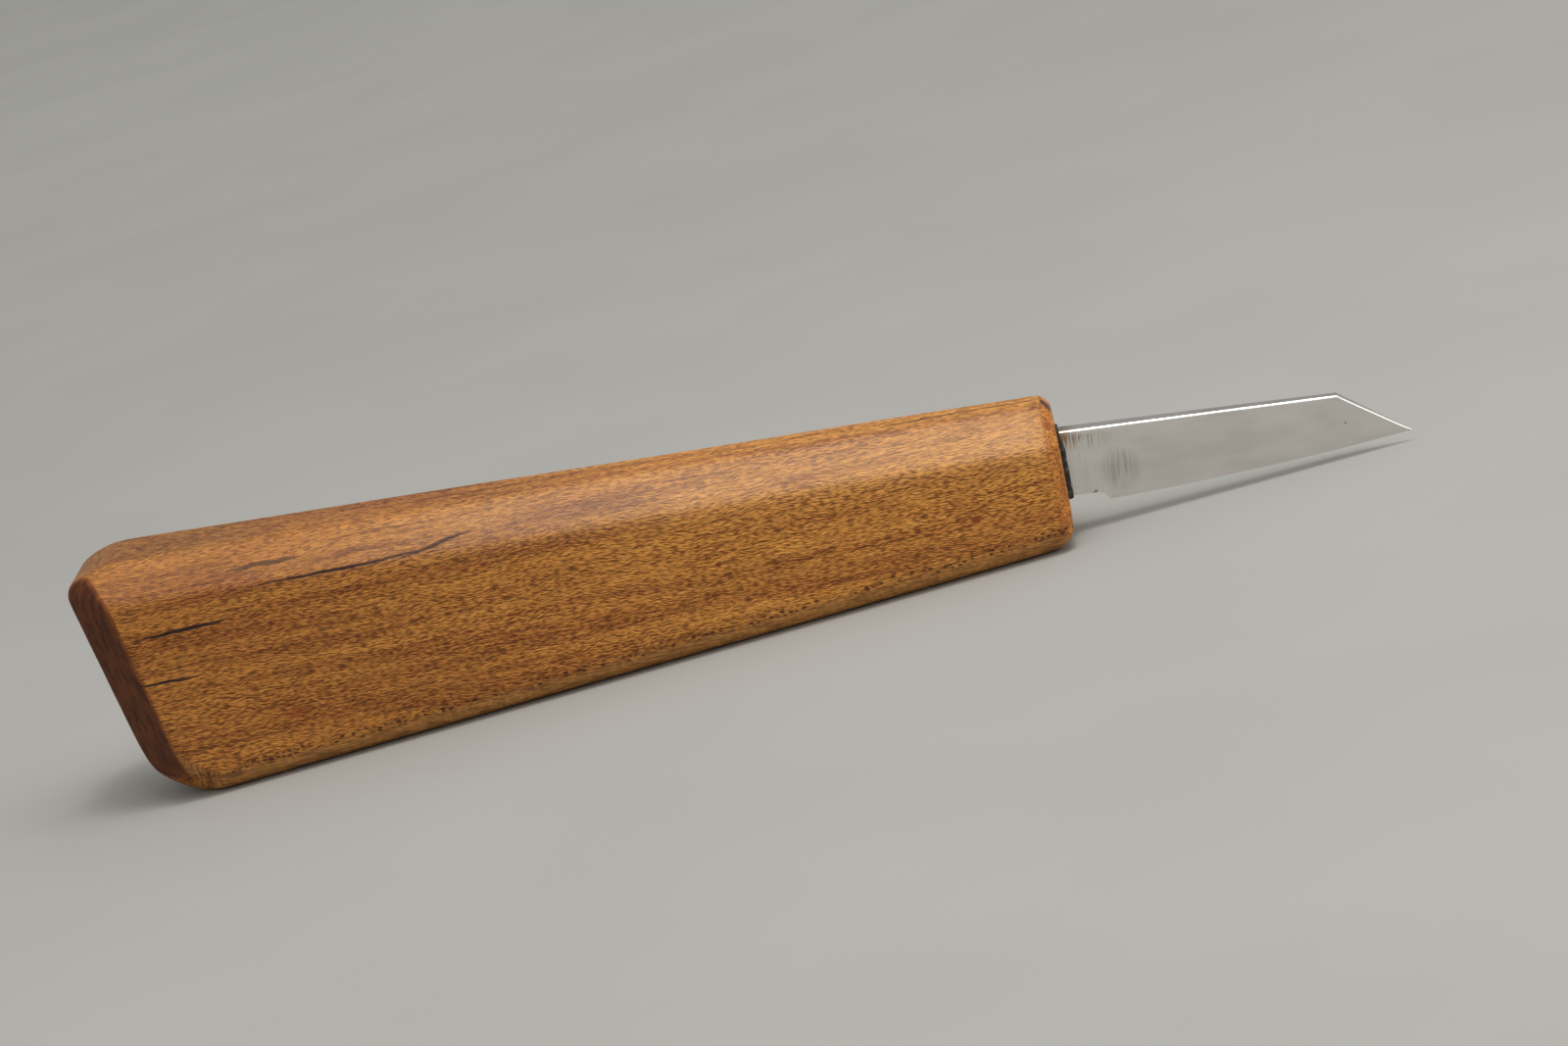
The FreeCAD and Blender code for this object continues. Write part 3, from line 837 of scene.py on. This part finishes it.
def around(n, grain):
    """Flat coordinates along the grain and round the handle, over both sides and the top."""
    along, across, up = n.split(grain)
    girth = n.minus(up, n.math("ABSOLUTE", across))
    apart = n.times(n.math("GREATER_THAN", across, 0.0), FAR_SIDE_SHIFT)
    return n.join(along, n.plus(girth, apart), 0.0)


def figured_colour(n, figure, bevels):
    """Bands, lines and blotches, with the fine dashes over them and a painted sheen on the
    bevels, strongest towards the blade.
    """
    bands, lines, blotch = figure.bands, figure.lines, figure.blotch
    dashes, threads = figure.dashes, figure.threads
    plain = n.mix(n.span(bands, 0.36, 0.64), WOOD["dark_band"], WOOD["pale_band"])
    plain = n.mix(n.span(lines, 0.46, 0.30, 0.0, 0.60), plain, WOOD["line"])
    plain = n.mix(n.span(blotch, 0.55, 0.75, 0.0, 0.40), plain, WOOD["red_blotch"])
    plain = n.mix(n.span(blotch, 0.44, 0.26, 0.0, 0.40), plain, WOOD["pale_blotch"])
    dark_dash = n.times(n.span(dashes, 0.38, 0.62), 0.76)
    light_dash = n.times(n.span(dashes, 0.42, 0.14), 0.60)
    colour = n.mix(dark_dash, plain, WOOD["dark_dash"])
    colour = n.mix(light_dash, colour, WOOD["light_dash"])
    colour = n.mix(n.span(threads, 0.47, 0.33, 0.0, 0.54), colour, WOOD["dark_dash"])
    colour = n.mix(n.span(threads, 0.53, 0.66, 0.0, 0.38), colour, WOOD["light_thread"])
    colour = n.mix(n.span(figure.grit, 0.56, 0.72, 0.0, 0.35), colour, WOOD["light_grit"])
    shade = n.span(lines, 0.43, 0.30, 0.0, 0.60)
    colour = n.mix(shade, colour, WOOD["line_shade"], "MULTIPLY")
    shade = n.span(bands, 0.50, 0.36, 0.0, 0.55)
    colour = n.mix(shade, colour, WOOD["band_shade"], "MULTIPLY")
    colour = n.mix(n.times(bevels, 0.25), colour, plain)
    # Painted sheen: a pale bluish colour added on the chamfers, fading towards the butt.
    painted_sheen = n.times(bevels, n.span(n.x, -60.0, -24.0, 0.20, 1.0))
    return n.mix(painted_sheen, colour, WOOD["painted_sheen"], "ADD")


def butt_shade_colour(n, colour, bevels):
    """Painted shade: darker towards the butt, where less light falls, most of all on the top and
    bevels.
    """
    top_faces = n.painted("top_faces")
    # Painted shade: multiplies the colour darker towards the butt, most on the top faces and
    # chamfers.
    above = n.times(top_faces, n.span(n.x, -6.0, -66.0, 0.0, 0.88))
    painted_butt_shade = n.plus(n.span(n.x, 22.0, -84.0, 0.0, 0.80), above)
    painted_butt_shade = n.plus(painted_butt_shade, n.times(bevels, n.span(n.x, -28.0, -76.0, 0.0, 0.58)))
    colour = n.mix(painted_butt_shade, colour, WOOD["painted_butt_shade"], "MULTIPLY")
    # More painted shade on the top faces nearest the butt.
    painted_crown_shade = n.times(top_faces, n.span(n.x, -44.0, -72.0))
    return n.mix(painted_crown_shade, colour, WOOD["painted_crown_shade"], "MULTIPLY")


def end_grain_colour(n, colour, end_grain):
    """Darker, redder wood where the fibres end: the butt's end face and its chamfers."""
    rings = n.noise(n.place, PLACE_SIZES["end_rings"], detail=3.0, roughness=0.6)
    pores = n.cells(n.place, PLACE_SIZES["end_pores"])["Distance"]
    dark = n.mix(n.span(rings, 0.36, 0.62), WOOD["end_dark"], WOOD["end_pale"])
    dark = n.mix(n.span(pores, 0.28, 0.12, 0.0, 0.45), dark, WOOD["end_pore"])
    patina = n.mix(n.span(rings, 0.4, 0.6), WOOD["patina_dark"], WOOD["patina_pale"])
    colour = n.mix(n.span(end_grain, 0.40, 0.72), colour, dark)
    border = n.times(n.span(end_grain, 0.12, 0.40), n.span(end_grain, 0.92, 0.60))
    border = n.times(border, n.span(n.z, 4.0, 26.0, 0.35, 0.85))
    return n.mix(border, colour, patina)


def front_rim_colour(n, colour, figure):
    """Orange, pricked and rubbed wood on the front face and the rim round it."""
    front_grain = n.painted("front_grain")
    pricks = n.cells(n.place, PLACE_SIZES["rim_pricks"])
    prick = n.times(n.span(pricks["Distance"], 0.50, 0.28), n.chosen(pricks, 0.6))
    rubbed = n.noise(n.place, PLACE_SIZES["rim_rubbing"])
    warm = n.mix(n.span(figure.grit, 0.40, 0.62), WOOD["rim_dark"], WOOD["rim_pale"])
    warm = n.mix(n.span(rubbed, 0.56, 0.42, 0.0, 0.62), warm, WOOD["rim_rubbed"])
    warm = n.mix(prick, warm, WOOD["rim_prick"])
    colour = n.mix(n.times(n.span(front_grain, 0.30, 0.70), 0.72), colour, warm)
    crease = n.times(n.span(front_grain, 0.20, 0.40), n.span(front_grain, 0.66, 0.46))
    return n.mix(n.times(crease, 0.28), colour, WOOD["crease"])


def flecks_by_the_underside(n, grain):
    """Rows of dark dots where the under chamfer cuts across the grain."""
    dots = n.cells(grain, WOOD_SIZES["flecks"])
    from_middle = n.math("ABSOLUTE", n.plus(n.x, 22.0))
    chosen = n.chosen(dots, n.span(from_middle, 10.0, 60.0, 0.40, 0.66))
    spread = n.noise(n.place, PLACE_SIZES["fleck_row"], detail=1.0)
    height = n.plus(2.2, n.times(spread, 1.4))
    band = n.span(n.math("ABSOLUTE", n.minus(n.z, height)), 0.95, 0.25)
    dot = n.times(n.span(dots["Distance"], 0.50, 0.32), chosen)
    return n.times(n.times(dot, band), 0.85)


def gum_streaks(n, wobble):
    """The dark streaks and lines at their places on the near side and on the top."""
    height = n.plus(n.z, n.times(wobble, 0.8))
    total = 0.0
    for start, end, thickness, depth in NEAR_SIDE_STREAKS:
        streak = n.streak(n.x, height, start, end, thickness)
        total = n.larger(total, n.times(streak, depth))
    total = n.times(total, n.span(n.y, -3.0, -5.0))
    side = n.plus(n.y, n.times(wobble, 0.5))
    top_faces = n.painted("top_faces")
    for start, end, thickness, depth in TOP_STREAKS:
        streak = n.streak(n.x, side, start, end, thickness)
        total = n.larger(total, n.times(n.times(streak, depth), top_faces))
    scorch = n.times(n.streak(n.x, n.y, *SCORCH), n.span(n.z, 16.9, 17.6, 0.0, 0.9))
    return n.larger(total, scorch)


def red_smudges(n):
    """Small reddish spots on the near side, and the dots on the butt's chamfer."""
    total = 0.0
    for place, sizes, depth in SMUDGES:
        total = n.larger(total, n.span(n.off(n.place, place, sizes), 1.0, 0.35, 0.0, depth))
    return total


def steel_material():
    """Ground and polished carbon steel, with cross scratches and stains near the handle."""
    n = Nodes("polished_steel")
    cos, sin = slope(BLADE_DROOP)
    root = (front_x(SPINE_HEIGHT), 0.0, SPINE_HEIGHT)
    from_root = n.vector("SUBTRACT", n.place, root)
    along = n.dot(from_root, (cos, 0, -sin))
    depth = n.dot(from_root, (-sin, 0, -cos))
    flat = n.join(along, n.y, depth)
    cloud = n.noise(flat, STEEL_SIZES["cloud"], detail=3.0, roughness=0.55)
    cross = n.noise(flat, STEEL_SIZES["cross"], detail=1.0)
    lengthwise = n.noise(flat, STEEL_SIZES["lengthwise"], roughness=0.6)
    near_handle = n.span(along, 13.0, 1.0)
    face = n.span(n.math("ABSOLUTE", depth), 0.35, 1.0)

    colour = n.mix(n.span(cloud, 0.3, 0.7), STEEL["dark"], STEEL["pale"])
    streaks = n.times(n.span(cross, 0.40, 0.66), near_handle)
    colour = n.mix(n.times(streaks, 0.40), colour, STEEL["scratch"])
    colour = stained_steel(n, colour, flat, cross, face)
    for place, size in PITS:
        off = n.off(flat, place, (size, PIT_ACROSS, size))
        colour = n.mix(n.span(off, 1.2, 0.5, 0.0, 0.8), colour, STEEL["pit"])
    n.set("Base Color", colour)
    n.shader.inputs["Metallic"].default_value = 1.0

    scratch = n.times(n.span(cross, 0.35, 0.65), n.span(near_handle, 0.0, 1.0, 0.06, 1.0))
    rough = n.plus(n.span(cloud, 0.3, 0.7, 0.21, 0.26), n.times(scratch, 0.08))
    n.set("Roughness", n.plus(rough, n.span(face, 0.0, 1.0, 0.07, 0.0)))
    height = n.times(n.plus(scratch, n.times(lengthwise, 0.25)), face)
    n.set("Normal", n.bump(height, *STEEL_BUMP))
    return n.material


def stained_steel(n, colour, flat, cross, face):
    """A grey rubbed patch, brown stains hanging from the spine, and rust in the corner."""
    along, _, depth = n.split(flat)
    patch = n.span(n.off(flat, PATCH_PLACE, PATCH_SIZES), 1.25, 0.35)
    patch = n.times(patch, n.span(cross, 0.36, 0.60, 0.25, 1.0))
    hanging = n.plus(depth, n.times(n.span(cross, 0.35, 0.65), -2.6))
    stain = n.times(n.span(along, 9.0, 0.8), n.span(hanging, 0.7, -0.8))
    stain = n.times(stain, face)
    corner = n.times(n.span(along, 3.2, 0.4), n.span(depth, 3.2, 0.6))
    corner = n.times(corner, n.span(cross, 0.36, 0.60, 0.2, 1.0))
    colour = n.mix(n.times(patch, 0.55), colour, STEEL["patch"])
    colour = n.mix(n.times(stain, 0.80), colour, STEEL["stain"])
    return n.mix(n.times(corner, 0.90), colour, STEEL["corner"])


def epoxy_material(name, speckle):
    """Cured black epoxy: uneven gloss, dust and fine pale specks."""
    n = Nodes(name)
    grains = n.cells(n.place, EPOXY_GRAIN)
    dust = n.times(n.span(grains["Distance"], 0.5, 0.2), n.chosen(grains, speckle))
    lumps = n.noise(n.place, EPOXY_LUMPS, detail=3.0, roughness=0.6)
    colour = n.mix(n.span(lumps, 0.35, 0.65), EPOXY_DARK, EPOXY_PALE)
    n.set("Base Color", n.mix(n.times(dust, 0.5), colour, EPOXY_DUST))
    n.set("Roughness", n.span(lumps, 0.3, 0.7, 0.30, 0.60))
    n.set("Normal", n.bump(lumps, *EPOXY_BUMP))
    return n.material


def floor_material():
    n = Nodes("pale_floor")
    clouds = n.noise(n.place, FLOOR_CLOUDS)
    colour = n.mix(n.span(clouds, 0.3, 0.7), FLOOR_DARK, FLOOR_PALE)
    # Painted shade: the floor's colour is darker near the knife, against the pool of the lamps'
    # light there.
    near = n.span(n.vector("LENGTH", n.place), 900.0, 150.0)
    n.set("Base Color", n.mix(near, colour, FLOOR_NEAR_SHADE, "MULTIPLY"))
    n.shader.inputs["Roughness"].default_value = 0.9
    n.shader.inputs["Specular IOR Level"].default_value = 0.1
    return n.material


def dress(piece, material):
    piece.data.materials.clear()
    piece.data.materials.append(material)


# ------------------------------------------------------------------ studio


def make_floor(lowest):
    """A wide pale sheet that the knife stands on."""
    steps = np.linspace(-FLOOR_REACH, FLOOR_REACH, FLOOR_QUADS + 1)
    points = [(x / MM, y / MM, lowest / MM) for y in steps for x in steps]
    row = FLOOR_QUADS + 1
    quads = [
        (j * row + i, j * row + i + 1, (j + 1) * row + i + 1, (j + 1) * row + i)
        for j in range(FLOOR_QUADS)
        for i in range(FLOOR_QUADS)
    ]
    floor = mesh_object("floor", np.array(points), quads)
    dress(floor, floor_material())


def add_light(name, place, aim, size, watts):
    light = bpy.data.lights.new(name, "AREA")
    light.shape = "RECTANGLE"
    light.size, light.size_y = size
    light.energy = watts
    lamp = bpy.data.objects.new(name, light)
    lamp.location = place
    lamp.rotation_euler = (aim - place).to_track_quat("-Z", "Y").to_euler()
    bpy.context.scene.collection.objects.link(lamp)


def light_studio(centre):
    """A soft box overhead, a small bright one beside it, a weak one in front, and a pale sky."""
    for name, offset, size, watts in LIGHTS:
        add_light(name, centre + Vector(offset), centre, size, watts)
    world = bpy.data.worlds.new("studio")
    world.use_nodes = True
    tree = world.node_tree
    direction = tree.nodes.new("ShaderNodeTexCoord").outputs["Generated"]
    split = tree.nodes.new("ShaderNodeSeparateXYZ")
    tree.links.new(direction, split.inputs[0])
    product = tree.nodes.new("ShaderNodeMath")
    product.operation = "MULTIPLY"
    height = sky_ramp(tree, split.outputs["Z"], SKY_BY_HEIGHT)
    behind = sky_ramp(tree, split.outputs["Y"], SKY_BEHIND)
    tree.links.new(height, product.inputs[0])
    tree.links.new(behind, product.inputs[1])
    background = tree.nodes["Background"]
    background.inputs["Color"].default_value = SKY
    tree.links.new(product.outputs[0], background.inputs["Strength"])
    bpy.context.scene.world = world


def sky_ramp(tree, value, numbers):
    ramp = tree.nodes.new("ShaderNodeMapRange")
    tree.links.new(value, ramp.inputs["Value"])
    for socket, number in zip(ramp.inputs[1:5], numbers):
        socket.default_value = number
    return ramp.outputs["Result"]


def add_camera(centre):
    """Long lens, looking slightly down, rolled so that the knife points up to the right."""
    camera = bpy.data.cameras.new("camera")
    camera.lens = LENS
    camera.sensor_width = SENSOR
    holder = bpy.data.objects.new("camera", camera)
    turn = Matrix.Rotation(TILT, 4, "Y")
    back = turn @ Vector((0, -DISTANCE * math.cos(PITCH), DISTANCE * math.sin(PITCH)))
    facing = turn @ Matrix.Rotation(math.pi / 2 - PITCH, 4, "X")
    holder.matrix_world = Matrix.Translation(centre + AIM_OFFSET + back) @ facing
    bpy.context.scene.collection.objects.link(holder)
    bpy.context.scene.camera = holder


# ------------------------------------------------------------------ the scene


def main():
    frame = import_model()
    cad_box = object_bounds()
    low, high = (Vector(corner) for corner in cad_box)
    centre = (low + high) / 2
    bpy.context.scene.view_settings.view_transform = "Standard"

    handle = make_handle()
    dress(handle, wood_material())
    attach(handle, "root")
    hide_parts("handle")

    bead = make_bead()
    dress(bead, epoxy_material("bead_epoxy", BEAD_SPECKLE))
    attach(bead, "root")
    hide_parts("epoxy_bead")

    blade = make_blade()
    dress(blade, steel_material())
    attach(blade, "root")
    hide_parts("blade")

    dress(frame["nodes"]["tang_bedding"], epoxy_material("bedding_epoxy", BEDDING_SPECKLE))

    make_floor(low.z)
    light_studio(centre)
    add_camera(centre)


def plain(box):
    return [[float(number) for number in corner] for corner in box]


main()
